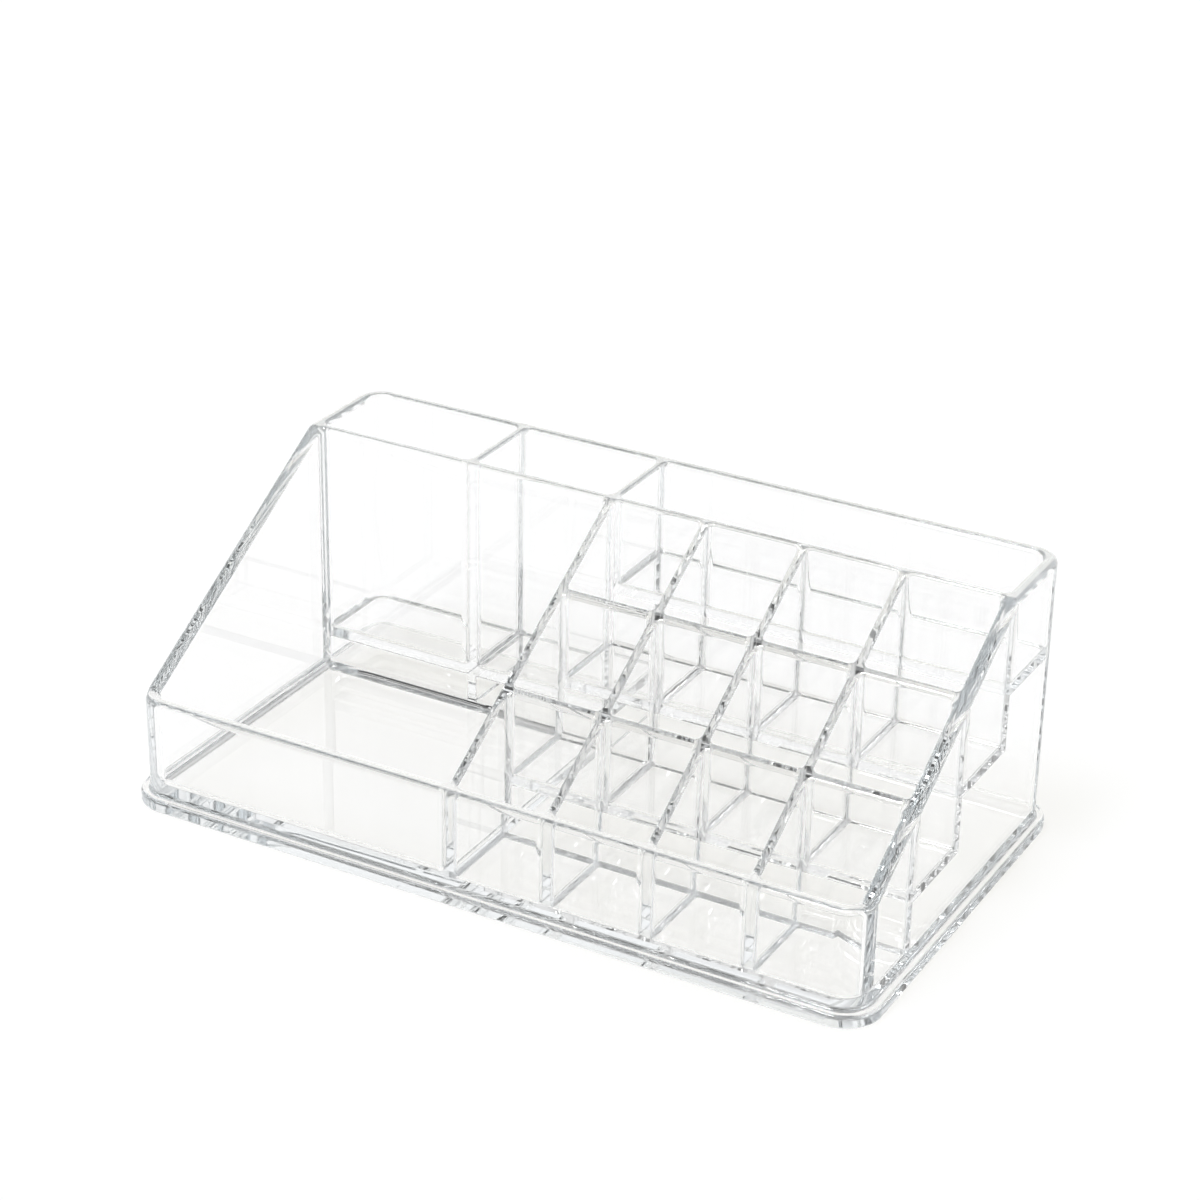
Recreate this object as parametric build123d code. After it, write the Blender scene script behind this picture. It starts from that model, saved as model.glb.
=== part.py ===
from build123d import *
import os

# A clear acrylic organiser for a vanity table, cemented up from panels inside a wrap-round wall.
# Seen from the front it has an open tray at the left, four columns by three rows of square
# slots at the right whose floors step up towards the back, and a rear row of three compartments.
# Nothing on it moves. Millimetres: +X runs to the right along the front, +Y to the back, +Z up.
# The origin lies on the table, under the middle of the base.

# Sheet and joints
wall = 3.8               # thickness of the wrap-round outer wall
panel = 2.2              # thickness of the inner panels and the raised floors
bond_line = 0.03         # film of cement between two bonded faces
lap_play = 0.1           # how much wider a halving notch is than the panel it takes

# Plan, inside measures of the compartments
slot_width = 24.5
slot_depth = 23.7
slot_columns = 4
slot_rows = 3
tray_width = 85.6
rear_left_width = 44.1
rear_depth = 24.7
corner_radius = 7.5      # upright outer corners of the wall

# Base
base_thickness = 4.8
lip_reach = 2.4          # how far the lip stands out from the wall
lip_height = 3.4
lip_cove = 1.1           # hollow rounding from the lip up to the wall
lip_round = 1.0          # upper edge of the lip
foot_round = 0.6         # lower edge of the lip

# Heights above the table, and steps
front_height = 29.8
full_height = 74.6
step_rise = 15.1         # from one slot row's floor to the next
rear_floor_rise = 10.5   # from the base up to the rear floors at the left

# Rim
slope_lead = 1.2         # from the inside of the front wall to the foot of the slope
slope_foot_radius = 4.0
slope_head_radius = 3.0
rim_round = 1.6          # edges of the wall's rim
panel_round = 0.8        # upper edges of the panels

# Places, measured from the outer faces of the wall at the front left
tray_right = wall + tray_width
slots_left = tray_right + panel
rear_left_right = wall + rear_left_width
column_pitch = slot_width + panel
row_pitch = slot_depth + panel
length = slots_left + slot_columns * column_pitch - panel + wall
partition_front = wall + slot_rows * row_pitch - panel
rear_front = partition_front + panel
depth = rear_front + rear_depth + wall
inner_right = length - wall
inner_back = depth - wall
slope_foot = wall + slope_lead
slope = (full_height - front_height) / (partition_front - slope_foot)
above = full_height + wall   # clear of everything, for cutting tools


def column_left(column):
    """Left side of a slot column."""
    return slots_left + column * column_pitch


def row_front(row):
    """Front of a slot row, or of the partition for the row after the last."""
    return wall + row * row_pitch


def row_back(row):
    """Back of a slot row, which is the front face of the riser behind it."""
    return row_front(row) + slot_depth


def floor_top(row):
    """Upper face of a slot row's floor. The row after the last is the rear right floor."""
    return base_thickness + row * step_rise


def lap_height(row):
    """Where a slot divider and the riser behind this row share their crossing in halves."""
    rim = front_height + slope * (row_back(row) - slope_foot)
    return (floor_top(row + 1) + rim) / 2


def block(x0, x1, y0, y1, z0, z1):
    """A box between two corners, given in places from the front left of the wall."""
    middle = ((x0 + x1 - length) / 2, (y0 + y1 - depth) / 2, (z0 + z1) / 2)
    return Pos(*middle) * Box(x1 - x0, y1 - y0, z1 - z0)


def upright(size_x, size_y, radius, z0, z1):
    """A centred block with rounded upright corners."""
    outline = RectangleRounded(size_x, size_y, radius)
    return extrude(Pos(0, 0, z0) * outline, z1 - z0)


def under_rim():
    """All that lies below the line of the rim, which is the same for wall and panels."""
    front = -depth / 2 - lip_reach
    back = depth / 2 + lip_reach
    foot = (slope_foot - depth / 2, front_height)
    head = (partition_front - depth / 2, full_height)
    corners = [(front, 0), (front, front_height), foot, head, (back, full_height), (back, 0)]
    side = make_face(Polyline(*corners, close=True))
    side = fillet(side.vertices().sort_by_distance(foot)[0], slope_foot_radius)
    side = fillet(side.vertices().sort_by_distance(head)[0], slope_head_radius)
    return extrude(Plane.YZ * side, length / 2 + lip_reach, both=True)


def inside_wall():
    """The room inside the outer wall, less the film of cement."""
    gap = wall + bond_line
    return upright(length - 2 * gap, depth - 2 * gap, corner_radius - gap, 0, above)


def runs_on_side(edge, thin_axis, floor):
    """True for an edge along the top of a panel, on one of its two broad faces."""
    size = edge.bounding_box().size
    across = size.X if thin_axis == Axis.X else size.Y
    along = size.Y if thin_axis == Axis.X else size.X
    return across < bond_line and along > bond_line and edge.center().Z > floor + panel


def trim_to_rim(piece, thin_axis, floor):
    """Cut a panel to the line of the rim and round its upper edges."""
    piece = piece & under_rim()
    edges = [edge for edge in piece.edges() if runs_on_side(edge, thin_axis, floor)]
    return fillet(edges, panel_round)


def base_plate():
    reach = 2 * lip_reach
    lip = upright(length + reach, depth + reach, corner_radius + lip_reach, 0, lip_height)
    plate = lip + upright(length, depth, corner_radius, 0, base_thickness)
    ring = [edge for edge in plate.edges() if abs(edge.center().Z - lip_height) < bond_line]
    cove = [edge for edge in ring if is_on_wall_line(edge)]
    edge_of_lip = [edge for edge in ring if not is_on_wall_line(edge)]
    plate = fillet(cove, lip_cove)
    edge_of_lip = [near_edge(plate, edge) for edge in edge_of_lip]
    plate = fillet(edge_of_lip, lip_round)
    return fillet(plate.edges().group_by(Axis.Z)[0], foot_round)


def is_on_wall_line(edge):
    """True for an edge under the outer face of the wall."""
    size = edge.bounding_box()
    inside_x = max(abs(size.min.X), abs(size.max.X)) < length / 2 + lip_reach / 2
    inside_y = max(abs(size.min.Y), abs(size.max.Y)) < depth / 2 + lip_reach / 2
    return inside_x and inside_y


def near_edge(piece, edge):
    """The same edge on a piece that has been worked on since."""
    return piece.edges().sort_by_distance(edge.center())[0]


def outer_shell():
    room = upright(length - 2 * wall, depth - 2 * wall, corner_radius - wall, 0, above)
    shell = upright(length, depth, corner_radius, base_thickness + bond_line, full_height)
    shell = (shell - room) & under_rim()
    edges = []
    for edge in shell.edges():
        size = edge.bounding_box().size
        crosses_rim = size.Y < bond_line and size.X < corner_radius
        if edge.bounding_box().min.Z > front_height - bond_line and not crosses_rim:
            edges.append(edge)
    return fillet(edges, rim_round)


def divider(left, front, back, floor):
    """An upright panel that runs from front to back."""
    piece = block(left, left + panel, front + bond_line, back - bond_line, floor + bond_line, above)
    return trim_to_rim(piece, Axis.X, floor)


def slot_divider(column):
    """A divider with a stepped foot, halved over the risers that it crosses."""
    left = column_left(column) - panel
    piece = divider(left, wall, partition_front, base_thickness)
    for row in range(slot_rows - 1):
        step_front = row_back(row) - lap_play / 2
        lap_back = row_front(row + 1) + lap_play / 2
        lap = lap_height(row) + bond_line
        step = floor_top(row + 1) + bond_line
        piece -= block(left - panel, left + 2 * panel, step_front, lap_back, 0, lap)
        piece -= block(left - panel, left + 2 * panel, step_front, partition_front, 0, step)
    return piece


def slot_riser(row):
    """The cross panel behind a slot row, notched for the dividers."""
    right = inner_right - bond_line
    floor = floor_top(row)
    piece = block(slots_left + bond_line, right, row_back(row), row_front(row + 1), floor + bond_line, above)
    piece = trim_to_rim(piece, Axis.Y, floor)
    for column in range(1, slot_columns):
        notch_left = column_left(column) - panel - lap_play / 2
        notch_right = column_left(column) + lap_play / 2
        notch = block(notch_left, notch_right, row_back(row) - panel, row_front(row + 1) + panel,
                      lap_height(row), above)
        piece -= notch
    return piece


def slot_floor(row):
    """A raised floor, reaching under the panel that stands on its back edge."""
    left = slots_left + bond_line
    right = inner_right - bond_line
    top = floor_top(row)
    return block(left, right, row_front(row) + bond_line, row_back(row) + panel, top - panel, top)


def rear_partition():
    """The full-width panel, which stands on the base at the left and on the last slot floor."""
    left = wall + bond_line
    right = inner_right - bond_line
    base = base_thickness + bond_line
    piece = block(left, right, partition_front, rear_front, base, above)
    piece = trim_to_rim(piece, Axis.Y, base_thickness)
    stand = floor_top(slot_rows - 1) + bond_line
    return piece - block(slots_left, length, partition_front - panel, rear_front + panel, 0, stand)


def rear_floor(left, right, top):
    """A raised floor between the partition and the back wall."""
    plate = block(left + bond_line, right - bond_line, rear_front + bond_line, depth, top - panel, top)
    return plate & inside_wall()


def organiser():
    """Every piece by name, in its place."""
    pieces = {"base_plate": base_plate(), "outer_shell": outer_shell()}
    pieces["tray_divider"] = divider(tray_right, wall, partition_front, base_thickness)
    for column in range(1, slot_columns):
        pieces[f"slot_divider_{column}"] = slot_divider(column)
    for row in range(slot_rows - 1):
        pieces[f"slot_riser_{row + 1}"] = slot_riser(row)
        pieces[f"slot_floor_{row + 2}"] = slot_floor(row + 1)
    pieces["rear_partition"] = rear_partition()
    pieces["rear_divider_left"] = divider(rear_left_right, rear_front, inner_back, base_thickness)
    pieces["rear_divider_right"] = divider(tray_right, rear_front, inner_back, base_thickness)
    low_floor = base_thickness + rear_floor_rise
    pieces["rear_floor_left"] = rear_floor(wall, rear_left_right, low_floor)
    pieces["rear_floor_middle"] = rear_floor(rear_left_right + panel, tray_right, low_floor)
    pieces["rear_floor_right"] = rear_floor(slots_left, inner_right, floor_top(slot_rows))
    return pieces


os.makedirs("parts", exist_ok=True)
for name, piece in organiser().items():
    solids = piece.solids()
    if len(solids) != 1:
        raise ValueError(f"{name} is in {len(solids)} pieces")
    export_step(solids[0], f"parts/{name}.step")
print(f"wall outside {length:.1f} x {depth:.1f}, {full_height:.1f} high")
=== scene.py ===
# %% [markdown]
# # A clear acrylic organiser for a vanity table
# The real one is a moulding in clear plastic: a wrap-round wall on a base with a flared lip, an
# open tray at the left, four columns by three rows of square slots whose floors climb to the
# back like stairs, and three narrow compartments behind a partition.
# This lesson dresses its CAD model for a picture. The packed model comes first, as a fixed frame
# that says where every panel is, and each panel is then made again as a finer, softer shape.

# %% Load the packed model
import math

import bpy
import numpy as np
from mathutils import Matrix, Vector
from mathutils.bvhtree import BVHTree


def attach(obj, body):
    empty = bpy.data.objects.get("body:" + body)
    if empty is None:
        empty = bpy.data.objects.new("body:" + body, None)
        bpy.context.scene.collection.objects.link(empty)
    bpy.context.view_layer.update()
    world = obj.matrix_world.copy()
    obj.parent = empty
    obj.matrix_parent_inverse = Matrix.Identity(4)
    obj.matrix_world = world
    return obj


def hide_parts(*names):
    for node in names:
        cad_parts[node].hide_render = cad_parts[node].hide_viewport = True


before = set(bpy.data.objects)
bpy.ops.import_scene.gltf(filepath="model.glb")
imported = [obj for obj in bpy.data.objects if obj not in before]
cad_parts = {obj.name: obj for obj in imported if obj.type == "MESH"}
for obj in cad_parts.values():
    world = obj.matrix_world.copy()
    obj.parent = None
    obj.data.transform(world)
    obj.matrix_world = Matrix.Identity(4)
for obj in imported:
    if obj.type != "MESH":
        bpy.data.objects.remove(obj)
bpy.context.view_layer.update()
scene = bpy.context.scene

# %% [markdown]
# ## The camera
# A product picture is taken from the front right and from above, with a long lens, so that
# upright panels stay nearly parallel. The camera's place and turn were solved from the corners
# of the organiser in the photograph. Three angles say it all: how far round it stands, how far
# it looks down, and how much it leans.

# %% Stand the camera where the photograph was taken
CAMERA_PLACE = (0.3283, -0.5939, 0.39544)
ROUND_TO_RIGHT, LOOKING_DOWN, LEAN = (math.radians(angle) for angle in (28.826, 26.365, 1.07))
FOCAL_LENGTH, SENSOR_WIDTH = 93.08, 36

level_right = Vector((math.cos(ROUND_TO_RIGHT), math.sin(ROUND_TO_RIGHT), 0))
backwards = Vector((math.sin(ROUND_TO_RIGHT) * math.cos(LOOKING_DOWN),
                    -math.cos(ROUND_TO_RIGHT) * math.cos(LOOKING_DOWN),
                    math.sin(LOOKING_DOWN)))
level_up = backwards.cross(level_right)
right = math.cos(LEAN) * level_right + math.sin(LEAN) * level_up
up = math.cos(LEAN) * level_up - math.sin(LEAN) * level_right

lens = bpy.data.cameras.new("camera")
lens.sensor_width = SENSOR_WIDTH
lens.lens = FOCAL_LENGTH
lens.clip_start = 0.05
camera = bpy.data.objects.new("camera", lens)
camera.matrix_world = Matrix((right, up, backwards)).transposed().to_4x4()
camera.matrix_world.translation = CAMERA_PLACE
scene.collection.objects.link(camera)
scene.camera = camera
print(f"a lens of {lens.lens:.1f} mm, {Vector(CAMERA_PLACE).length:.2f} m from the middle of the table")

# %% [markdown]
# ## Sizes
# These are the same sizes, in millimetres, as the CAD source is driven by, so the shapes below
# land on its panels. Places along x and y are counted from the outer faces of the wall at the
# front left, as a maker marks out a sheet, and moved to the middle of the table at the end.

# %% The organiser's driving sizes
WALL, PANEL = 3.8, 2.2
SLOT_WIDTH, SLOT_DEPTH, COLUMNS, ROWS = 24.5, 23.7, 4, 3
TRAY_WIDTH, REAR_LEFT_WIDTH, REAR_DEPTH = 85.6, 44.1, 24.7
OUTER_CORNER, INNER_CORNER = 7.5, 3.7
BASE, LIP_REACH, LIP_HEIGHT = 4.8, 2.4, 3.4
FRONT_HEIGHT, FULL_HEIGHT, STEP_RISE, REAR_FLOOR_RISE = 29.8, 74.6, 15.1, 10.5
SLOPE_LEAD = 1.2                  # from the inside of the front wall to the foot of the slope
WALL_ROUND, PANEL_ROUND = 1.6, 0.8

TRAY_RIGHT = WALL + TRAY_WIDTH
SLOTS_LEFT = TRAY_RIGHT + PANEL
REAR_LEFT_RIGHT = WALL + REAR_LEFT_WIDTH
COLUMN_PITCH, ROW_PITCH = SLOT_WIDTH + PANEL, SLOT_DEPTH + PANEL
PARTITION_FRONT = WALL + ROWS * ROW_PITCH - PANEL
REAR_FRONT = PARTITION_FRONT + PANEL
LENGTH = SLOTS_LEFT + COLUMNS * COLUMN_PITCH - PANEL + WALL
DEPTH = REAR_FRONT + REAR_DEPTH + WALL
INNER_RIGHT, INNER_BACK = LENGTH - WALL, DEPTH - WALL
SLOPE_FOOT = WALL + SLOPE_LEAD
SLOPE = (FULL_HEIGHT - FRONT_HEIGHT) / (PARTITION_FRONT - SLOPE_FOOT)
print(f"wall {LENGTH:.1f} by {DEPTH:.1f} mm, rim climbs {math.degrees(math.atan(SLOPE)):.1f} degrees")

# %% [markdown]
# Slots, dividers, risers and floors all repeat on one grid, so three small functions say where a
# column, a row and a floor lie, and the boxes of the compartments follow from them.

# %% Places on the grid, and the compartments' boxes
def column_left(column):
    return SLOTS_LEFT + column * COLUMN_PITCH


def row_front(row):
    return WALL + row * ROW_PITCH


def floor_top(row):
    return BASE + row * STEP_RISE


def slot_box(column, row):
    """Left, right, front and back of a slot, as of every box below."""
    return (column_left(column), column_left(column) + SLOT_WIDTH,
            row_front(row), row_front(row) + SLOT_DEPTH)


TRAY_BOX = (WALL, TRAY_RIGHT, WALL, PARTITION_FRONT)
REAR_BOXES = {"left": (WALL, REAR_LEFT_RIGHT, REAR_FRONT, INNER_BACK),
              "middle": (REAR_LEFT_RIGHT + PANEL, TRAY_RIGHT, REAR_FRONT, INNER_BACK),
              "right": (SLOTS_LEFT, INNER_RIGHT, REAR_FRONT, INNER_BACK)}
REAR_FLOORS = {"left": BASE + REAR_FLOOR_RISE, "middle": BASE + REAR_FLOOR_RISE,
               "right": floor_top(ROWS)}
print(f"slot floors at {[round(floor_top(row), 1) for row in range(ROWS)]} mm,",
      f"rear floors at {[round(top, 1) for top in REAR_FLOORS.values()]} mm")

# %% [markdown]
# ## How clear plastic is modelled
# Light bends only where plastic meets air, so a moulding has to be one skin: two panels that
# merely touch would show a bright crack. The way used here is a sculptor's. A solid block is
# shaped to the outer wall, and every compartment is cut out of it with a cutter that has the
# rounded floor, the rounded corners and the flared mouth of a real mould.
#
# Block and cutters are all stacks of rings. A ring is a rectangle with rounded corners, always
# with the same number of points, so that any two rings can be joined by a band of faces.

# %% A ring
def ring(left, right, front, back, radii, steps=8, cuts=()):
    """Points and outward directions of a rounded rectangle, anticlockwise from the front right.
    radii are those of the front right, back right, back left and front left corners, steps are the
    faces in a corner, and cuts are shares of the straight sides, from front to back, at which they
    get a point more."""
    centres = [(right - radii[0], front + radii[0]), (right - radii[1], back - radii[1]),
               (left + radii[2], back - radii[2]), (left + radii[3], front + radii[3])]
    points, ways = [], []
    for quarter, ((x, y), radius) in enumerate(zip(centres, radii)):
        for step in range(steps + 1):
            turn = math.radians(90 * (quarter - 1 + step / steps))
            way = (math.cos(turn), math.sin(turn))
            points.append((x + radius * way[0], y + radius * way[1]))
            ways.append(way)
        if quarter in (0, 2):
            start, end = points[-1][1], centres[quarter + 1][1]
            for share in (cuts if quarter == 0 else [1 - c for c in reversed(cuts)]):
                points.append((points[-1][0], start + share * (end - start)))
                ways.append((1.0 if quarter == 0 else -1.0, 0.0))
    return np.array(points), np.array(ways)


print(f"a ring has {len(ring(*TRAY_BOX, [INNER_CORNER] * 4)[0])} points")

# %% [markdown]
# A stack joins its rings with bands of faces and closes the lowest and the highest ring with a
# strip of four-sided faces. Rings that follow the rim also store values on their points, which a
# node tree reads later.

# %% A stack of rings
MOUTH_VALUES = {"turn": "FLOAT", "lift": "FLOAT", "at_wall": "FLOAT", "way": "FLOAT_VECTOR"}


def add_shape(name, mesh):
    shape = bpy.data.objects.new(name, mesh)
    scene.collection.objects.link(shape)
    return shape


def stack(name, rings, mouth=None):
    """A closed mesh from rings, lowest first, each given as points and a height. mouth holds a
    list of values for each name in MOUTH_VALUES, with one array for each ring."""
    count = len(rings[0][0])
    places = np.vstack([np.column_stack([p, np.full(count, z)]) for p, z in rings])
    faces = []
    for level in range(len(rings) - 1):
        low, high = level * count, (level + 1) * count
        faces += [(low + i, low + (i + 1) % count, high + (i + 1) % count, high + i)
                  for i in range(count)]
    top = (len(rings) - 1) * count
    for i in range(count // 2 - 1):
        strip = (i, i + 1, count - 2 - i, count - 1 - i)
        faces.append(tuple(reversed(strip)))
        faces.append(tuple(top + v for v in strip))
    mesh = bpy.data.meshes.new(name)
    mesh.from_pydata([tuple(p) for p in places], [], faces)
    for key, arrays in (mouth or {}).items():
        layer = mesh.attributes.new(key, MOUTH_VALUES[key], "POINT")
        layer.data.foreach_set("vector" if key == "way" else "value",
                               np.concatenate(arrays).astype(np.float32).ravel())
    return add_shape(name, mesh)


print("rings that follow the rim store", ", ".join(MOUTH_VALUES))

# %% [markdown]
# The rim is level along the front, climbs in a straight slope over the slots and the tray, and
# is level again behind them. A mould maker blends the two bends. Because this rule holds for the
# wall and for every panel alike, the rings that form a mouth don't carry a height of their own.
# They carry how far round its quarter turn the rounded edge has come, and which way it leans.

# %% Rings for a rounded floor and for a mouth
FLOOR_STEPS, MOUTH_STEPS, LAST_TURN = 7, 7, 86
TIGHTEST = 0.3   # no corner of a ring in a floor's rounding is tighter
CLEAR = 60       # a cutter reaches this far past the rim, clear of the block
NO_MOUTH = -1.0  # the turn of a ring that the rim rule leaves alone


def mouth_lists(flat_rings, count):
    """Values for the rings below a mouth, to which the mouth's own are added."""
    return {"turn": [np.full(count, NO_MOUTH)] * flat_rings, "lift": [np.zeros(count)] * flat_rings,
            "at_wall": [np.zeros(count)] * flat_rings, "way": [np.zeros((count, 3))] * flat_rings}


def add_mouth_ring(rings, mouth, points, ways, degrees, lift, at_wall, inwards=1):
    rings.append((points, 0.0))
    count = len(points)
    mouth["turn"].append(np.full(count, math.radians(degrees)))
    mouth["lift"].append(np.full(count, float(lift)))
    mouth["at_wall"].append(at_wall)
    mouth["way"].append(np.column_stack([ways * inwards, np.zeros(count)]))


def compartment_cutter(name, box, floor, radii, floor_round, walls=(), cuts=()):
    """What is cut away for a compartment between four panels. walls names the sides that are the
    outer wall, where the mouth opens wider."""
    left, right, front, back = box
    rings = []
    for step in range(FLOOR_STEPS + 1):
        angle = math.radians(90 * step / FLOOR_STEPS)
        inset = floor_round * (1 - math.sin(angle))
        tight = [max(radius - inset, TIGHTEST) for radius in radii]
        points, _ = ring(left + inset, right - inset, front + inset, back - inset, tight, cuts=cuts)
        rings.append((points, floor + floor_round * (1 - math.cos(angle))))
    points, ways = ring(left, right, front, back, radii, cuts=cuts)
    mouth = mouth_lists(len(rings), len(points))
    sides = {"left": -ways[:, 0], "right": ways[:, 0], "front": -ways[:, 1], "back": ways[:, 1]}
    at_wall = np.max([np.zeros(len(points))] + [sides[s] for s in walls], axis=0)
    for step in range(MOUTH_STEPS + 1):
        add_mouth_ring(rings, mouth, points, ways, LAST_TURN * step / MOUTH_STEPS, 0, at_wall)
    add_mouth_ring(rings, mouth, points, ways, LAST_TURN, CLEAR, at_wall)
    return stack(name, rings, mouth)


print(f"a cutter has {FLOOR_STEPS + 1} rings round its floor and {MOUTH_STEPS + 2} in its mouth")

# %% [markdown]
# ## The rim rule and the grid of slots, as Geometry Nodes
# Twelve slots repeat on a grid whose floors rise row by row, and every mouth, like the top of the
# outer wall, has to meet the same rim line. That is a rule, so it is built as a node tree: it
# copies a cutter along columns and rows, then lifts each mouth ring to the height of the rim
# above it.
#
# A tree is built node by node, and a small class keeps that short: it adds a node, links what is
# a socket and sets what is a plain value.

# %% A small helper to wire nodes
class Wiring:
    """Adds nodes to a tree and links sockets, or sets them where a plain value is given."""

    def __init__(self, tree):
        self.tree = tree

    def node(self, kind, inputs=(), output=0, **settings):
        made = self.tree.nodes.new(kind)
        for key, value in settings.items():
            setattr(made, key, value)
        for key, value in dict(inputs).items():
            if isinstance(value, bpy.types.NodeSocket):
                self.tree.links.new(value, made.inputs[key])
            else:
                made.inputs[key].default_value = value
        return made.outputs[output]

    def maths(self, operation, *values):
        return self.node("ShaderNodeMath", dict(enumerate(values)), operation=operation)

    def stored(self, name):
        """A value that the points carry."""
        return self.node("GeometryNodeInputNamedAttribute", {"Name": name},
                         data_type=MOUTH_VALUES.get(name, "FLOAT"))

    def parts(self, vector):
        return self.node("ShaderNodeSeparateXYZ", {0: vector}).node.outputs

    def surface(self, shader, kind="ShaderNodeOutputMaterial"):
        self.tree.links.new(shader, self.tree.nodes.new(kind).inputs["Surface"])


print("the helper has", ", ".join(key for key in vars(Wiring) if not key.startswith("_")))

# %% [markdown]
# The first half of the tree sets copies of what comes in on a grid. Each copy stores whether it
# stands in the column or the row along the outer wall. The one copy that stands in both, at the
# corner of the wall, can be left out.

# %% Copies on a grid
def copies_on_grid(wire, start):
    maths = wire.maths
    index = wire.node("GeometryNodeInputIndex")
    column = maths("FLOORED_MODULO", index, start["Columns"])
    row = maths("FLOOR", maths("DIVIDE", maths("ADD", index, 0.5), start["Columns"]))
    place = wire.node("ShaderNodeCombineXYZ", {0: maths("MULTIPLY", column, start["Column Pitch"]),
                                               1: maths("MULTIPLY", row, start["Row Pitch"]),
                                               2: maths("MULTIPLY", row, start["Step Rise"])})
    grid = wire.node("GeometryNodePoints", {"Count": maths("MULTIPLY", start["Columns"], start["Rows"]),
                                            "Position": place})
    in_wall_column = maths("COMPARE", column, start["Wall Column"], 0.1)
    in_wall_row = maths("COMPARE", row, start["Wall Row"], 0.1)
    for name, value in (("wall_column", in_wall_column), ("wall_row", in_wall_row)):
        grid = wire.node("GeometryNodeStoreNamedAttribute",
                         {"Geometry": grid, "Name": name, "Value": value}, data_type="FLOAT")
    in_corner = maths("MULTIPLY", wire.stored("wall_column"), wire.stored("wall_row"))
    left_out = maths("MULTIPLY", in_corner, start["Leave Out Corner"])
    copies = wire.node("GeometryNodeInstanceOnPoints",
                       {"Points": grid, "Instance": start["Geometry"],
                        "Selection": maths("LESS_THAN", left_out, 0.5)})
    return wire.node("GeometryNodeRealizeInstances", {"Geometry": copies})


print(f"a grid of {COLUMNS} by {ROWS}, {COLUMN_PITCH:.1f} by {ROW_PITCH:.1f} mm apart")

# %% [markdown]
# The second half is the rim itself. Two smooth-blend nodes round the foot and the head of the
# slope, and the radius of a rounded edge grows where a mouth meets the outer wall, which is
# thicker than a panel.

# %% The rim's height and the radius of its edges
def rim_height(wire, start, y):
    maths = wire.maths
    climb = maths("MULTIPLY_ADD", maths("SUBTRACT", y, start["Slope Foot"]), start["Slope"],
                  start["Front Height"])
    climb = maths("SMOOTH_MAX", climb, start["Front Height"], start["Foot Blend"])
    return maths("SMOOTH_MIN", climb, start["Full Height"], start["Head Blend"])


def edge_radius(wire, start, way):
    maths = wire.maths
    to_right = maths("MULTIPLY", wire.stored("wall_column"), way[0])
    to_front = maths("MULTIPLY", wire.stored("wall_row"), maths("MULTIPLY", way[1], -1.0))
    share = maths("MAXIMUM", wire.stored("at_wall"), maths("MAXIMUM", to_right, to_front))
    more = maths("SUBTRACT", start["Wall Round"], start["Panel Round"])
    return maths("MULTIPLY_ADD", share, more, start["Panel Round"])


print(f"the rim climbs from {FRONT_HEIGHT} to {FULL_HEIGHT} mm")

# %% [markdown]
# Now the whole tree. A ring of a mouth leans outwards by its turn round the edge, and is then set
# as far below the rim as the edge's roundness asks. All sizes come in by name, so the same tree
# serves the block, the slots and every other compartment.

# %% Build the tree
RIM_INPUTS = [("Geometry", "Geometry", None), ("Columns", "Int", 1), ("Rows", "Int", 1),
              ("Column Pitch", "Float", COLUMN_PITCH), ("Row Pitch", "Float", ROW_PITCH),
              ("Step Rise", "Float", STEP_RISE), ("Wall Column", "Int", -1),
              ("Wall Row", "Int", -1), ("Leave Out Corner", "Bool", False),
              ("Front Height", "Float", FRONT_HEIGHT), ("Full Height", "Float", FULL_HEIGHT),
              ("Slope Foot", "Float", SLOPE_FOOT), ("Slope", "Float", SLOPE),
              ("Foot Blend", "Float", 0.9), ("Head Blend", "Float", 0.7),
              ("Wall Round", "Float", WALL_ROUND), ("Panel Round", "Float", PANEL_ROUND),
              ("Material", "Material", None)]


def rim_tree():
    tree = bpy.data.node_groups.new("set_on_grid_and_follow_rim", "GeometryNodeTree")
    for name, kind, _ in RIM_INPUTS:
        tree.interface.new_socket(name, in_out="INPUT", socket_type=f"NodeSocket{kind}")
    tree.interface.new_socket("Geometry", in_out="OUTPUT", socket_type="NodeSocketGeometry")
    start = tree.nodes.new("NodeGroupInput").outputs
    wire = Wiring(tree)
    maths = wire.maths
    solid = copies_on_grid(wire, start)
    way = wire.parts(wire.stored("way"))
    here = wire.parts(wire.node("GeometryNodeInputPosition"))
    turn, radius = wire.stored("turn"), edge_radius(wire, start, way)
    lean_out = maths("MULTIPLY", radius, maths("SUBTRACT", 1.0, maths("COSINE", turn)))
    drop = maths("MULTIPLY", radius, maths("SUBTRACT", 1.0, maths("SINE", turn)))
    x = maths("MULTIPLY_ADD", way[0], lean_out, here[0])
    y = maths("MULTIPLY_ADD", way[1], lean_out, here[1])
    z = maths("ADD", maths("SUBTRACT", rim_height(wire, start, y), drop), wire.stored("lift"))
    solid = wire.node("GeometryNodeSetPosition",
                      {"Geometry": solid, "Selection": maths("GREATER_THAN", turn, NO_MOUTH / 2),
                       "Position": wire.node("ShaderNodeCombineXYZ", {0: x, 1: y, 2: z})})
    solid = wire.node("GeometryNodeSetMaterial", {"Geometry": solid, "Material": start["Material"]})
    tree.links.new(solid, tree.nodes.new("NodeGroupOutput").inputs[0])
    return tree


rim_rule = rim_tree()
print(f"the rim rule has {len(rim_rule.nodes)} nodes")

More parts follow.
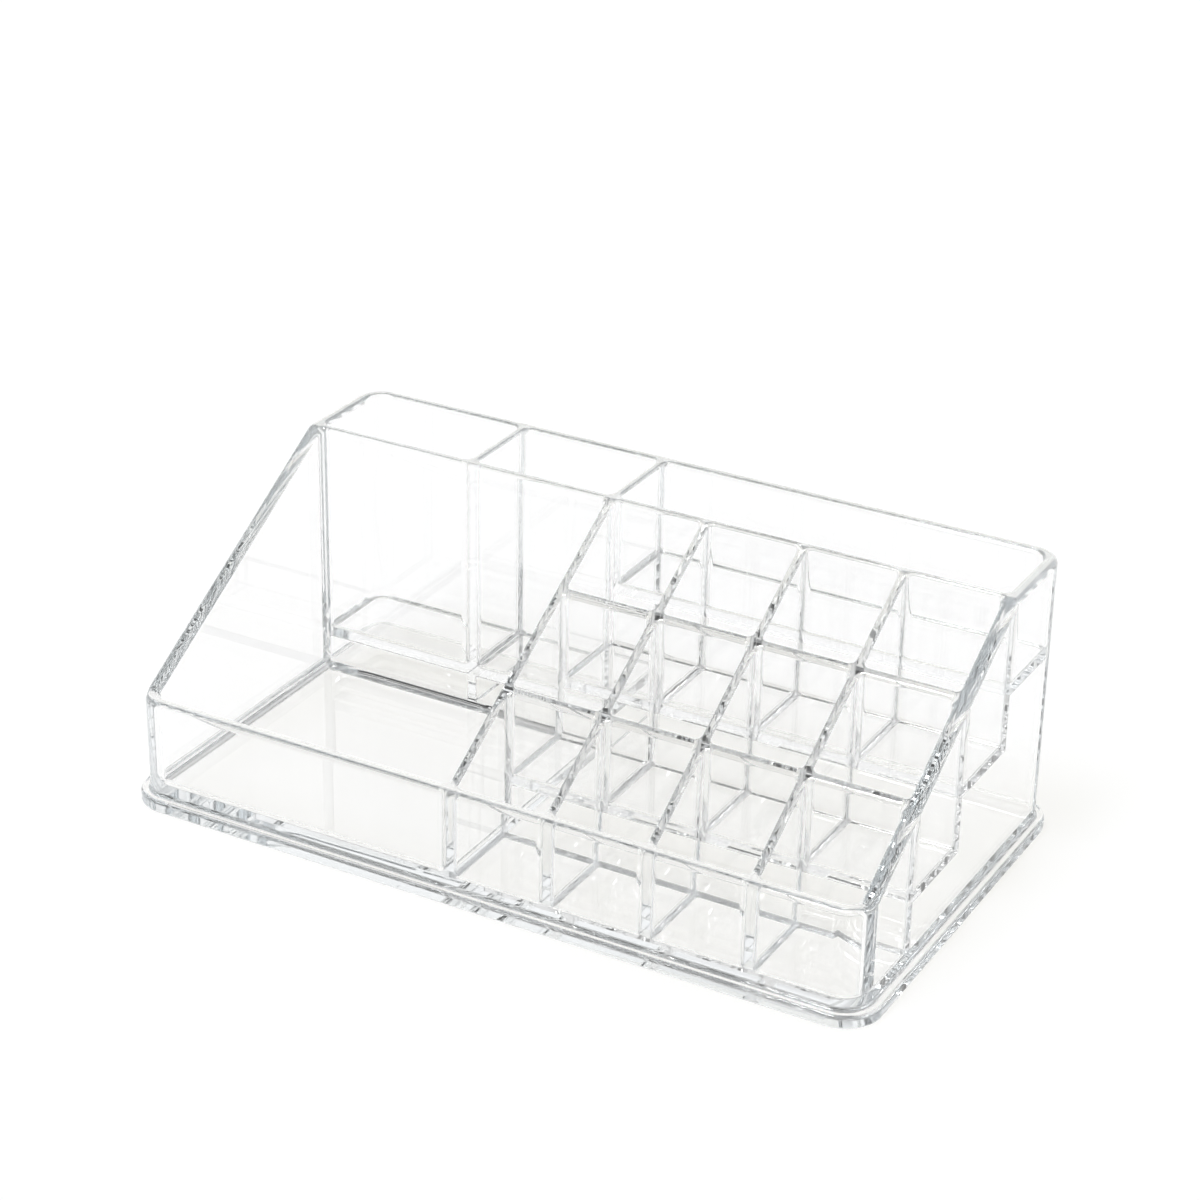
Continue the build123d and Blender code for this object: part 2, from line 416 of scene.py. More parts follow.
# %% [markdown]
# ## Clear acrylic
# Polished acrylic bends light by 1.49 and mirrors a little of it, which one Glass shader does. It
# isn't quite colourless either: where light runs a long way inside a panel, as it does along an
# edge, some is lost, red a little more than blue, and the edge looks cool grey. A volume could do
# that, but a volume needs to know when light is inside, and the panels' welds would confuse it.
# So the loss is worked out at the face where the light arrives from inside: its run, raised to a
# power. Polished plastic is never quite flat, so a very faint, slow waviness tilts the surface.
#
# Rays from lamps would have to bend their way in, which a path tracer seldom finds. They pass
# straight through a tinted stand-in, and the shadow stays soft and pale.

# %% The polished acrylic
LEFT_AFTER_100_MM = (0.93, 0.947, 0.957)     # of the light that runs inside the plastic
HUNDREDS_OF_MM = 10.0                        # in a metre
PASSED_BY_A_FACE = (0.972, 0.971, 0.963, 1)  # of the light on its way from a lamp
WAVES = {"Scale": 55.0, "Detail": 1.0, "Roughness": 0.4}
WAVE_TILT = {"Strength": 0.008, "Distance": 0.001}


def empty_nodes(owner):
    """Wiring for a material or a world that starts with no nodes."""
    owner.use_nodes = True
    owner.node_tree.nodes.clear()
    return Wiring(owner.node_tree)


def clear_acrylic():
    material = bpy.data.materials.new("clear_acrylic_polished")
    wire = empty_nodes(material)
    spot = wire.node("ShaderNodeTexCoord", output="Object")
    waves = wire.node("ShaderNodeTexNoise", {"Vector": spot, **WAVES})
    bump = wire.node("ShaderNodeBump", {"Height": waves, **WAVE_TILT})
    inside = wire.node("ShaderNodeNewGeometry", output="Backfacing")
    run = wire.node("ShaderNodeLightPath", output="Ray Length")
    depth = wire.maths("MULTIPLY", inside, wire.maths("MULTIPLY", run, HUNDREDS_OF_MM))
    left = [wire.maths("POWER", share, depth) for share in LEFT_AFTER_100_MM]
    tint = wire.node("ShaderNodeCombineColor", dict(enumerate(left)))
    plastic = wire.node("ShaderNodeBsdfGlass", {"Color": tint, "Roughness": 0.0, "IOR": 1.49,
                                                "Normal": bump})
    stand_in = wire.node("ShaderNodeBsdfTransparent", {"Color": PASSED_BY_A_FACE})
    lamp_ray = wire.node("ShaderNodeLightPath", output="Is Shadow Ray")
    wire.surface(wire.node("ShaderNodeMixShader", {0: lamp_ray, 1: plastic, 2: stand_in}))
    return material


ACRYLIC = clear_acrylic()
print(f"{ACRYLIC.name} has {len(ACRYLIC.node_tree.nodes)} nodes")

# %% [markdown]
# ## The weld between panels
# Where one panel is welded to the next there is no surface at all. Those inner faces close each
# panel's mesh, and their material is entirely clear.

# %% The weld
def weld():
    material = bpy.data.materials.new("welded_joint")
    material.use_nodes = True
    shader = material.node_tree.nodes["Principled BSDF"]
    shader.inputs["Base Color"].default_value = (1, 1, 1, 1)
    shader.inputs["Alpha"].default_value = 0.0
    return material


WELD = weld()
ACRYLIC_SLOT, WELD_SLOT = 0, 1


def two_slots(mesh, slot=ACRYLIC_SLOT):
    """Every mesh has the acrylic first and the weld second, so that cuts keep them apart."""
    mesh.materials.clear()
    mesh.materials.append(ACRYLIC)
    mesh.materials.append(WELD)
    mesh.polygons.foreach_set("material_index", [slot] * len(mesh.polygons))


print("slots of every mesh:", ACRYLIC.name, "and", WELD.name)

# %% [markdown]
# ## Running the rule and the cuts
# A modifier's result becomes a plain mesh, and the modifier is taken off again. The tree's inputs
# are set by their identifiers, which Blender gives them. Cuts use the Manifold solver, which is
# quick and keeps a closed skin closed.

# %% Helpers that apply a tree or a cut
def plain_mesh(shape):
    """The shape with its modifiers applied, as a mesh of its own."""
    seen = shape.evaluated_get(bpy.context.evaluated_depsgraph_get())
    return bpy.data.meshes.new_from_object(seen)


def follow_rim(shape, **given):
    """The shape after the rim rule, whose inputs may be given by name."""
    given["material"] = ACRYLIC
    modifier = shape.modifiers.new("rim rule", "NODES")
    modifier.node_group = rim_rule
    sockets = {s.name: s.identifier for s in rim_rule.interface.items_tree if s.in_out == "INPUT"}
    for name, kind, usual in RIM_INPUTS:
        if kind != "Geometry":
            modifier[sockets[name]] = given.get(name.replace(" ", "_").lower(), usual)
    shape.data = plain_mesh(shape)
    shape.modifiers.clear()
    two_slots(shape.data)
    return shape


def cut(shape, other, operation="DIFFERENCE"):
    """The shape's mesh after a cut, intersection or union with another shape."""
    modifier = shape.modifiers.new("cut", "BOOLEAN")
    modifier.solver, modifier.operation, modifier.object = "MANIFOLD", operation, other
    mesh = plain_mesh(shape)
    shape.modifiers.clear()
    return mesh


def join(name, shapes):
    """One object from several that don't touch each other."""
    with bpy.context.temp_override(active_object=shapes[0], selected_editable_objects=shapes):
        bpy.ops.object.join()
    shapes[0].name = name
    return shapes[0]


print(f"{rim_rule.name} takes {len(RIM_INPUTS)} inputs")

# %% [markdown]
# ## The block
# Read from the table up, the outline starts with the small rounding that keeps the base from
# scratching the table, goes up the lip and over its rounded edge, sweeps through a hollow cove
# into the wall, and ends in the rounded rim.

# %% The solid block inside the outer wall
FOOT_ROUND, LIP_ROUND, LIP_COVE = 0.6, 1.0, 1.1
WALL_CORNER_STEPS = 20
HEAD_REACH, HEAD_POINTS = 1.8, 11   # the head of the slope bends this far to each side
HEAD_OF_SLOPE = np.linspace(PARTITION_FRONT - HEAD_REACH, PARTITION_FRONT + HEAD_REACH, HEAD_POINTS)


def quarter_turn(points):
    """Sine and cosine at some points of a quarter turn."""
    angles = np.radians(np.linspace(0, 90, points))
    return list(zip(np.sin(angles), np.cos(angles)))


def lip_profile():
    """How far the base reaches out from the wall, and at what height, from the table up."""
    foot = [(LIP_REACH - FOOT_ROUND * (1 - sine), FOOT_ROUND * (1 - cosine))
            for sine, cosine in quarter_turn(points=5)]
    lip = [(LIP_REACH - LIP_ROUND * (1 - cosine), LIP_HEIGHT - LIP_ROUND * (1 - sine))
           for sine, cosine in quarter_turn(points=7)]
    cove = [(LIP_COVE * (1 - sine), LIP_HEIGHT + LIP_COVE * (1 - cosine))
            for sine, cosine in quarter_turn(points=7)]
    return foot + lip + cove


def block():
    cuts = (HEAD_OF_SLOPE - OUTER_CORNER) / (DEPTH - 2 * OUTER_CORNER)

    def outline(reach):
        return ring(-reach, LENGTH + reach, -reach, DEPTH + reach, [OUTER_CORNER + reach] * 4,
                    steps=WALL_CORNER_STEPS, cuts=cuts)

    rings = [(outline(reach)[0], height) for reach, height in lip_profile()]
    points, ways = outline(0)
    mouth = mouth_lists(len(rings), len(points))
    for degrees in np.linspace(0, 90, 10):
        add_mouth_ring(rings, mouth, points, ways, degrees, 0, np.ones(len(points)), inwards=-1)
    return follow_rim(stack("block", rings, mouth))


moulding = block()
print(f"block {tuple(round(d, 1) for d in moulding.dimensions)} mm, "
      f"{len(moulding.data.polygons)} faces")

# %% [markdown]
# ## The twelve slots
# They come from one cutter through the node tree, all but the one in the front right corner,
# which has the larger corner of the outer wall and so is a cutter of its own. Its long sides get
# a few points more, so that they can bend with the rim.

# %% Cutters for the slots
SLOT_CORNER, SLOT_FLOOR_ROUND = 1.5, 1.3
SLOT_CUTS = np.linspace(0.1, 0.9, 5)

slots = compartment_cutter("slot_cutter", slot_box(0, 0), BASE, [SLOT_CORNER] * 4,
                           SLOT_FLOOR_ROUND, cuts=SLOT_CUTS)
slots = follow_rim(slots, columns=COLUMNS, rows=ROWS, wall_column=COLUMNS - 1, wall_row=0,
                   leave_out_corner=True)
corner_slot = compartment_cutter("corner_slot_cutter", slot_box(COLUMNS - 1, 0), BASE,
                                 [INNER_CORNER, SLOT_CORNER, SLOT_CORNER, SLOT_CORNER],
                                 SLOT_FLOOR_ROUND, walls=("right", "front"), cuts=SLOT_CUTS)
cutters = [slots, follow_rim(corner_slot)]
print(f"cutters for the slots: {[len(cutter.data.polygons) for cutter in cutters]} faces")

# %% [markdown]
# ## The tray and the rear compartments
# The tray has a wide rounding along its floor, and its sides get points where the head of the
# slope bends them. The three rear compartments stand on raised floors behind the slope. Corners
# that lie in the outer wall follow its larger rounding.

# %% Cutters for the tray and the rear, and the great cut
WIDE_CORNER, TRAY_FLOOR_ROUND, REAR_FLOOR_ROUND = 2.0, 3.0, 1.6
REAR_CORNERS = {"left": [WIDE_CORNER, WIDE_CORNER, INNER_CORNER, WIDE_CORNER],
                "middle": [WIDE_CORNER] * 4,
                "right": [WIDE_CORNER, INNER_CORNER, WIDE_CORNER, WIDE_CORNER]}
REAR_WALLS = {"left": ("left", "back"), "middle": ("back",), "right": ("right", "back")}


def tray_cutter():
    radii = [WIDE_CORNER, WIDE_CORNER, WIDE_CORNER, INNER_CORNER]
    start, end = TRAY_BOX[2] + radii[0], TRAY_BOX[3] - radii[1]
    cuts = [(y - start) / (end - start) for y in HEAD_OF_SLOPE if start < y < end]
    return compartment_cutter("tray_cutter", TRAY_BOX, BASE, radii, TRAY_FLOOR_ROUND,
                              walls=("left", "front"), cuts=cuts)


cutters.append(follow_rim(tray_cutter()))
for side, box in REAR_BOXES.items():
    cutters.append(follow_rim(compartment_cutter(
        f"rear_{side}_cutter", box, REAR_FLOORS[side], REAR_CORNERS[side], REAR_FLOOR_ROUND,
        walls=REAR_WALLS[side])))
compartments = join("compartments", cutters)
moulding.data = cut(moulding, compartments)
bpy.data.objects.remove(compartments)
print(f"with its compartments the moulding has {len(moulding.data.polygons)} faces")

# %% [markdown]
# ## The hollows under the raised floors
# Below the stair of slots and below the rear floors the moulding is hollow, or it would be a
# heavy lump of plastic that sinks as it cools. Each hollow is a stack of rings that ends in a
# small rounding under its ceiling. The one under the stair is trimmed to the steps' undersides.

# %% Shapes for the hollows
HOLLOW_EDGE, HOLLOW_CORNER, HOLLOW_TIGHTEST = 0.5, 0.6, 0.1


def box_shape(name, left, right, front, back, low, high, slot=ACRYLIC_SLOT):
    mesh = bpy.data.meshes.new(name)
    corners = [(right, front), (right, back), (left, back), (left, front)]
    mesh.from_pydata([(*corner, z) for z in (low, high) for corner in corners], [],
                     [(3, 2, 1, 0), (4, 5, 6, 7)]
                     + [(i, (i + 1) % 4, 4 + (i + 1) % 4, 4 + i) for i in range(4)])
    two_slots(mesh, slot)
    return add_shape(name, mesh)


def hollow(name, box, top, radii):
    left, right, front, back = box
    rings = [(ring(left, right, front, back, radii)[0], BASE)]
    for sine, cosine in quarter_turn(points=5):
        inset = HOLLOW_EDGE * (1 - cosine)
        tight = [max(radius - inset, HOLLOW_TIGHTEST) for radius in radii]
        points, _ = ring(left + inset, right - inset, front + inset, back - inset, tight)
        rings.append((points, top - HOLLOW_EDGE * (1 - sine)))
    shape = stack(name, rings)
    two_slots(shape.data)
    return shape


print(f"hollows leave floors of {PANEL} mm")

# %% [markdown]
# The hollow under the stair starts as one tall space, and a box over each lower step takes away
# what would come through it. Then all the hollows are cut out of the moulding in one go.

# %% Hollow out the space under the floors
PAST = 5.0   # how far a trimming box or a cell goes past the part
STAIR_BOX = (SLOTS_LEFT, INNER_RIGHT, row_front(1), INNER_BACK)
HOLLOW_CORNERS = {"left": [HOLLOW_CORNER, HOLLOW_CORNER, INNER_CORNER, HOLLOW_CORNER],
                  "middle": [HOLLOW_CORNER] * 4}

under_stair = hollow("under_stair", STAIR_BOX, floor_top(ROWS) - PANEL,
                     [HOLLOW_CORNER, INNER_CORNER, HOLLOW_CORNER, HOLLOW_CORNER])
for row in range(1, ROWS):
    above_step = box_shape("above_step", SLOTS_LEFT - PAST, INNER_RIGHT + PAST,
                           row_front(row) - PAST, row_front(row + 1), floor_top(row) - PANEL,
                           FULL_HEIGHT + CLEAR)
    under_stair.data = cut(under_stair, above_step)
    bpy.data.objects.remove(above_step)
hollows = [under_stair]
for side, radii in HOLLOW_CORNERS.items():
    hollows.append(hollow(f"under_rear_{side}", REAR_BOXES[side], REAR_FLOORS[side] - PANEL, radii))
spaces = join("spaces", hollows)
moulding.data = cut(moulding, spaces)
bpy.data.objects.remove(spaces)
print(f"hollowed out, it has {len(moulding.data.polygons)} faces")

# %% [markdown]
# ## Back to panels
# A library part is handled panel by panel, so the skin is divided again along its welds. Each
# panel's cell is a few boxes joined together. A cell bites a little way into its neighbours, so
# that no cut runs along a surface, and takes the small roundings at the panel's edges with it.
# All faces that a cut makes are welds, and get the weld's clear material from the cell.

# %% Boxes that make up a cell
BITE, PLUG = 0.3, 0.5              # how far a cell reaches into its neighbours
FLANGE = WIDE_CORNER + BITE        # and how far along them, past the roundings
JUST_UNDER, WELL_UNDER = 0.1, 0.8  # how far below the face of a floor a box ends or starts
OVERLAP, HAIR = 1.0, 0.05          # of boxes in one cell, and past a crossing of panels
BELOW, ABOVE = -PAST, FULL_HEIGHT + PAST


def footing(box, floor, floor_round):
    """A box that holds a compartment's floor and the rounding round it."""
    left, right, front, back = box
    return (left - BITE, right + BITE, front - BITE, back + BITE,
            floor - WELL_UNDER, floor + floor_round + BITE)


def plate_box(box, top):
    """A box that holds a raised floor, less the very top of it."""
    left, right, front, back = box
    return (left - PLUG, right + PLUG, front - PLUG, back + BITE,
            top - PANEL - BITE, top - JUST_UNDER)


def lap(row):
    """Where a divider and the riser behind this row share their crossing in halves."""
    rim = FRONT_HEIGHT + SLOPE * (row_front(row) + SLOT_DEPTH - SLOPE_FOOT)
    return (floor_top(row + 1) + rim) / 2


print(f"dividers and risers share their crossings at {[round(lap(r), 1) for r in range(ROWS - 1)]} mm")

# %% [markdown]
# The cell of a floor holds its plate and a footing for each compartment above it. A riser's cell
# has a low and a high box for each column, because the dividers take over above the crossing. A
# divider's cell is a single tall box, since all that could stand in its way has been cut out
# before.

# %% The cell of each plate and panel
def base_cell():
    reach = 2 * PAST   # past the lip too
    under = (-reach, LENGTH + reach, -reach, DEPTH + reach, BELOW, BASE - JUST_UNDER)
    slots_in_front = [footing(slot_box(c, 0), BASE, SLOT_FLOOR_ROUND) for c in range(COLUMNS)]
    in_hollows = [footing(box, BASE, 0.0)
                  for box in (STAIR_BOX, REAR_BOXES["left"], REAR_BOXES["middle"])]
    return [under, footing(TRAY_BOX, BASE, TRAY_FLOOR_ROUND), *slots_in_front, *in_hollows]


def slot_floor_cell(row):
    plate = (SLOTS_LEFT, INNER_RIGHT, row_front(row), row_front(row + 1))
    return [plate_box(plate, floor_top(row))] + [
        footing(slot_box(c, row), floor_top(row), SLOT_FLOOR_ROUND) for c in range(COLUMNS)]


def rear_floor_cell(side):
    left, right, front, back = REAR_BOXES[side]
    top = REAR_FLOORS[side]
    return [plate_box((left, right, front, back + PLUG - BITE), top),
            footing(REAR_BOXES[side], top, REAR_FLOOR_ROUND)]


def riser_cell(row):
    front, back = row_front(row) + SLOT_DEPTH, row_front(row + 1)
    low, middle = floor_top(row) - OVERLAP, lap(row)
    boxes = []
    for column in range(COLUMNS):
        left, right = column_left(column), column_left(column) + SLOT_WIDTH
        boxes.append((left - BITE, right + BITE, front - FLANGE, back + FLANGE, low, middle))
        far = right + BITE if column == COLUMNS - 1 else right - FLANGE
        boxes.append((left + FLANGE, far, front - FLANGE, back + FLANGE, middle - OVERLAP, ABOVE))
        if column:
            boxes.append((left - PANEL + BITE / 2, left - BITE / 2, front - HAIR, back + HAIR,
                          low, middle - HAIR))
    return boxes


def divider_cell(left, front, back):
    return [(left - FLANGE, left + PANEL + FLANGE, front - PLUG, back + PLUG, BELOW, ABOVE)]


CELLS = {"base_plate": base_cell()}
for row in range(1, ROWS):
    CELLS[f"slot_floor_{row + 1}"] = slot_floor_cell(row)
for side in REAR_BOXES:
    CELLS[f"rear_floor_{side}"] = rear_floor_cell(side)
for row in range(ROWS - 1):
    CELLS[f"slot_riser_{row + 1}"] = riser_cell(row)
CELLS["tray_divider"] = divider_cell(TRAY_RIGHT, WALL, PARTITION_FRONT)
for column in range(1, COLUMNS):
    CELLS[f"slot_divider_{column}"] = divider_cell(column_left(column) - PANEL, WALL,
                                                   PARTITION_FRONT)
CELLS["rear_divider_left"] = divider_cell(REAR_LEFT_RIGHT, REAR_FRONT, INNER_BACK)
CELLS["rear_divider_right"] = divider_cell(TRAY_RIGHT, REAR_FRONT, INNER_BACK)
CELLS["rear_partition"] = [(WALL - PLUG, INNER_RIGHT + PLUG, PARTITION_FRONT - FLANGE,
                            REAR_FRONT + FLANGE, BELOW, ABOVE)]
print(f"{len(CELLS)} cells, and the outer wall is what they leave")

# %% [markdown]
# ## Soft light on flat faces
# A face of clear plastic is judged by how straight things look through it. Shading that rounds a
# flat face even slightly would bend them. So each corner of a face gets its own direction: a flat
# face keeps its true one, and the little faces of a rounding take theirs from their neighbours.

# %% Directions for every corner of the skin
CREASE = math.cos(math.radians(35))   # an edge with a larger angle than this stays sharp
FLAT_COUNTS = 1e4                     # how much more a flat face counts than one of a rounding
ALMOST_ONE = 1 - 1e-6                 # cosine between two ways that count as the same


def read(items, key, parts=1, kind=float):
    """One property of all items of a mesh, as an array with a row for each."""
    values = np.empty(len(items) * parts, kind)
    items.foreach_get(key, values)
    return values.reshape(-1, parts) if parts > 1 else values


def is_flat(normals):
    """True for faces that are level, upright along x or y, or lie in the slope of the rim."""
    angle = math.atan(SLOPE)
    on_slope = normals @ np.array((0, -math.sin(angle), math.cos(angle)))
    return (np.abs(normals).max(1) > ALMOST_ONE) | (on_slope > ALMOST_ONE)


def meetings(vertex_of, vertices):
    """Every pair of corners that share a vertex, as a list of corners and one of those they meet."""
    order = np.argsort(vertex_of, kind="stable")
    counts = np.bincount(vertex_of, minlength=vertices)
    starts = np.concatenate([[0], np.cumsum(counts)[:-1]])
    met = counts[vertex_of]
    mine = np.repeat(np.arange(len(vertex_of)), met)
    offset = np.arange(len(mine)) - np.repeat(np.cumsum(met) - met, met)
    return mine, order[starts[vertex_of[mine]] + offset]


def corner_directions(mesh):
    normals, areas = read(mesh.polygons, "normal", 3), read(mesh.polygons, "area")
    face_of = np.repeat(np.arange(len(areas)), read(mesh.polygons, "loop_total", kind=int))
    flat = is_flat(normals)
    mine, met = meetings(read(mesh.loops, "vertex_index", kind=int), len(mesh.vertices))
    other = face_of[met]
    close = (normals[face_of[mine]] * normals[other]).sum(1) > CREASE
    weight = np.where(close, areas[other] * np.where(flat[other], FLAT_COUNTS, 1.0), 0.0)
    summed = np.column_stack([np.bincount(mine, weight * normals[other, axis])
                              for axis in range(3)])
    lengths = np.linalg.norm(summed, axis=1)[:, None]
    own = normals[face_of]
    summed = np.where(lengths > 1e-12, summed / np.maximum(lengths, 1e-12), own)
    return np.where(flat[face_of][:, None], own, summed)


skin = moulding.data.copy()
skin.calc_loop_triangles()
skin_directions = corner_directions(skin)
triangles = np.array([t.vertices[:] for t in skin.loop_triangles])
triangle_corners = np.array([t.loops[:] for t in skin.loop_triangles])
skin_places = np.array([v.co[:] for v in skin.vertices])
skin_tree = BVHTree.FromPolygons(skin_places.tolist(), triangles.tolist())
print(f"{len(skin_directions)} corner directions on a skin of {len(triangles)} triangles")

# %% [markdown]
# A cut makes new corners along its edge. If they worked out their directions from what is left of
# the faces round them, light would bend differently beside each weld. So they look them up on the
# whole skin, on the triangle that they were cut from.

# %% The same directions on a panel cut from the skin
STEP_INSIDE = 0.02   # share of the way to a face's middle at which its own triangle is looked up


def direction_on_skin(place, inside):
    """The skin's direction at a place, blended from the corners of the triangle under inside."""
    _, _, found, _ = skin_tree.find_nearest(inside)
    a, b, c = skin_places[triangles[found]]
    u, v, w = b - a, c - a, np.array(place) - a
    uu, uv, vv, wu, wv = u @ u, u @ v, v @ v, w @ u, w @ v
    size = uu * vv - uv * uv
    if size < 1e-14:
        return skin_directions[triangle_corners[found][0]]
    s = min(max((vv * wu - uv * wv) / size, 0.0), 1.0)
    t = min(max((uu * wv - uv * wu) / size, 0.0), 1.0)
    return np.array([max(1 - s - t, 0.0), s, t]) @ skin_directions[triangle_corners[found]]


def directions_from_skin(mesh):
    result = np.zeros((len(mesh.loops), 3))
    for face in mesh.polygons:
        for corner in face.loop_indices:
            if face.material_index == WELD_SLOT:
                result[corner] = face.normal
            else:
                place = mesh.vertices[mesh.loops[corner].vertex_index].co
                result[corner] = direction_on_skin(place, place.lerp(face.center, STEP_INSIDE))
    lengths = np.linalg.norm(result, axis=1)[:, None]
    return result / np.maximum(lengths, 1e-9)


middle_of_tray = Vector((TRAY_BOX[1] / 2, TRAY_BOX[3] / 2, BASE))
found = direction_on_skin(middle_of_tray, middle_of_tray)
print(f"the tray's floor faces {tuple(round(float(part), 3) for part in found)}")

# %% [markdown]
# ## The finished pieces
# Each piece is cut out with its cell, and the cell is cut away from what is left. The skin goes
# into the cuts as triangles, because a four-sided face on a bend isn't flat, and a cut through it
# could leave a folded sliver. A finished piece moves from the maker's millimetres to the table's
# metres, gets its corner directions, rides on the organiser's one body and stands for its panel
# of the packed model.

# %% Part the skin and finish each piece
TO_TABLE = Matrix.Scale(0.001, 4) @ Matrix.Translation((-LENGTH / 2, -DEPTH / 2, 0))


def cell(boxes):
    """One shape, in the weld's material, from overlapping boxes."""
    first, *others = (box_shape("cell", *box, slot=WELD_SLOT) for box in boxes)
    for other in others:
        first.data = cut(first, other, "UNION")
        bpy.data.objects.remove(other)
    return first


def finish_piece(node, shape):
    mesh = shape.data
    directions = directions_from_skin(mesh)
    mesh.transform(TO_TABLE)
    mesh.shade_smooth()
    mesh.normals_split_custom_set([tuple(d) for d in directions])
    mesh.name = shape.name = f"clear_{node}"
    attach(shape, "root")
    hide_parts(node)
    print(f"{shape.name}: {len(mesh.polygons)} faces")


remains = moulding
remains.data = bpy.data.meshes.new("skin_in_triangles")
remains.data.from_pydata(skin_places.tolist(), [], triangles.tolist())
two_slots(remains.data)
for node, boxes in CELLS.items():
    region = cell(boxes)
    piece = add_shape(node, cut(remains, region, "INTERSECT"))
    remains.data = cut(remains, region)
    bpy.data.objects.remove(region)
    finish_piece(node, piece)
finish_piece("outer_shell", remains)

# %% [markdown]
# ## The table
# Clear plastic has no colour of its own, so the studio draws it. Seen straight through, a panel
# shows the table, which is a white sheet. Two lamps bring the sheet to its plain level, and a
# faint glow, seen only by the camera and through plastic, takes it to full white. The glow lights
# nothing, so the organiser keeps its soft shadow.

# %% The white sheet
SHEET_COLOUR, SHEET_GLOW = 0.9, 0.125
SHEET_HALF, SHEET_TOP = 8.0, -0.0002   # 0.2 mm under the base, so that the two never coincide


def grey(shade):
    return (shade, shade, shade, 1)


def seen_directly(wire):
    """1 for light that the camera sees, mirrored or bent by the plastic or straight."""
    path = wire.node("ShaderNodeLightPath").node.outputs
    return wire.maths("MAXIMUM", path["Is Camera Ray"],
                      wire.maths("MAXIMUM", path["Is Glossy Ray"], path["Is Transmission Ray"]))


def table():
    material = bpy.data.materials.new("white_sheet")
    wire = empty_nodes(material)
    sheet = wire.node("ShaderNodeBsdfDiffuse", {"Color": grey(SHEET_COLOUR)})
    strength = wire.maths("MULTIPLY", seen_directly(wire), SHEET_GLOW)
    glow = wire.node("ShaderNodeEmission", {"Color": grey(1.0), "Strength": strength})
    wire.surface(wire.node("ShaderNodeAddShader", {0: sheet, 1: glow}))
    mesh = bpy.data.meshes.new("table")
    corners = [(-1, -1), (1, -1), (1, 1), (-1, 1)]
    mesh.from_pydata([(x * SHEET_HALF, y * SHEET_HALF, SHEET_TOP) for x, y in corners], [],
                     [(0, 1, 2, 3)])
    mesh.materials.append(material)
    add_shape("table", mesh)


table()
print(f"a white sheet, {2 * SHEET_HALF:.0f} m wide")

# %% [markdown]
# ## The room
# Along rims, corners and the lip the light is turned up into the room, so what hangs there
# decides how the edges look. As for glassware, there is a bright cloth behind the organiser, up
# to a third of the way to overhead. In front the room is dark from a little above the horizon,
# with a pale patch of ceiling, and so it draws fine grey lines on white. The room is there to be
# mirrored and seen through the plastic, and lights nothing.

# %% The room, as two colour ramps from the horizon up
WHITE, DIM, DARK, CEILING = (grey(shade) for shade in (1.0, 0.145, 0.037, 0.365))
# each stop is the sine of how far up one looks, and how bright the room is there
ROOM_IN_FRONT = [(0.14, WHITE), (0.30, DIM), (0.78, DARK), (0.93, CEILING)]
ROOM_BEHIND = [(0.54, WHITE), (0.60, DIM), (0.78, DARK), (0.93, CEILING)]
FRONT_ENDS, BACK_STARTS = -0.2, 0.6   # how far back one looks where the one fades into the other


def height_ramp(wire, height, stops):
    ramp = wire.node("ShaderNodeValToRGB", {0: height}).node
    elements = ramp.color_ramp.elements
    while len(elements) < len(stops):
        elements.new(0.5)
    for element, (place, colour) in zip(elements, stops):
        element.position, element.color = place, colour
    return ramp.outputs[0]


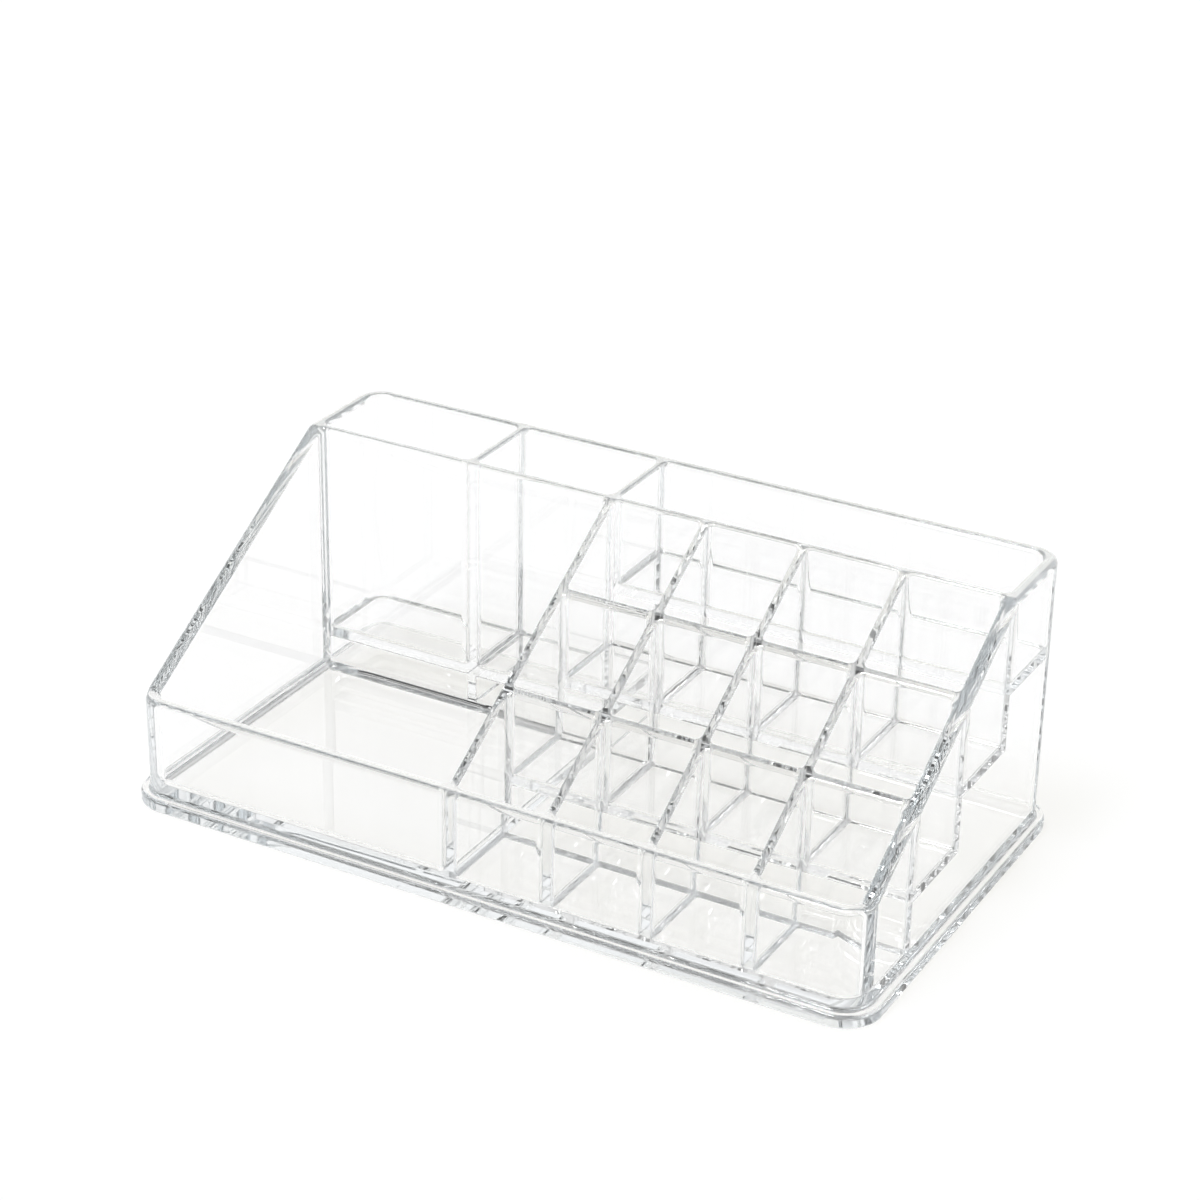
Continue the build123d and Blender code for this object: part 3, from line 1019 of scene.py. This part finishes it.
def room():
    world = bpy.data.worlds.new("studio_room")
    scene.world = world
    world.cycles_visibility.diffuse = False
    wire = empty_nodes(world)
    way = wire.parts(wire.node("ShaderNodeTexCoord"))
    behind = wire.node("ShaderNodeMapRange", {"Value": way[1], "From Min": FRONT_ENDS,
                                              "From Max": BACK_STARTS},
                       interpolation_type="SMOOTHSTEP")
    shades = [height_ramp(wire, way[2], stops) for stops in (ROOM_IN_FRONT, ROOM_BEHIND)]
    both = wire.node("ShaderNodeMixRGB", {0: behind, 1: shades[0], 2: shades[1]})
    wire.surface(wire.node("ShaderNodeBackground", {"Color": both}), "ShaderNodeOutputWorld")


room()
print(f"{scene.world.name} has {len(scene.world.node_tree.nodes)} nodes")

# %% [markdown]
# ## The lamps
# A key lamp from the front left and a wide soft one from nearly overhead are so far away that
# they light all of the table alike. The level of a lamp is how bright it makes a white sheet, and
# the two levels add up to 1. Only the key lamp gleams on the plastic.

# %% Two lamps
def soft_lamp(name, way, width, level, gleams):
    """way points to the lamp, and width is how wide it looks in degrees."""
    way = Vector(way).normalized()
    light = bpy.data.lights.new(name, "SUN")
    light.angle = math.radians(width)
    light.energy = level * math.pi / way.z
    light.cycles.use_multiple_importance_sampling = gleams
    shape = bpy.data.objects.new(name, light)
    shape.rotation_euler = (-way).to_track_quat("-Z", "Y").to_euler()
    scene.collection.objects.link(shape)
    return shape


key_lamp = soft_lamp("key_lamp", way=(-0.22, -0.45, 0.866), width=17, level=0.65, gleams=True)
fill_lamp = soft_lamp("fill_lamp", way=(0.0, 0.3, 1.0), width=100, level=0.35, gleams=False)
print(f"lamps of {key_lamp.data.energy:.2f} and {fill_lamp.data.energy:.2f} watts per square metre")

# %% [markdown]
# ## Light that stays inside
# Light that enters a rim runs along inside the panel and is mirrored from face to face many times
# before it gets out. If it were given up early, the rims would turn black, so it is followed
# much longer than usual. The light that the plastic would focus on the table is left out, as the
# stand-in lets it through.

# %% How far light is followed
MIRRORED_TIMES, WELDS_PASSED = 64, 96

scene.cycles.max_bounces = MIRRORED_TIMES
scene.cycles.glossy_bounces = MIRRORED_TIMES
scene.cycles.transmission_bounces = MIRRORED_TIMES
scene.cycles.transparent_max_bounces = WELDS_PASSED
scene.cycles.caustics_reflective = False
scene.cycles.caustics_refractive = False
scene.view_settings.view_transform = "Standard"
print(f"light is followed for {scene.cycles.max_bounces} changes of its way")

# %% [markdown]
# ## Compare sizes
# The dressed organiser has to stay inside the box of the CAD model.
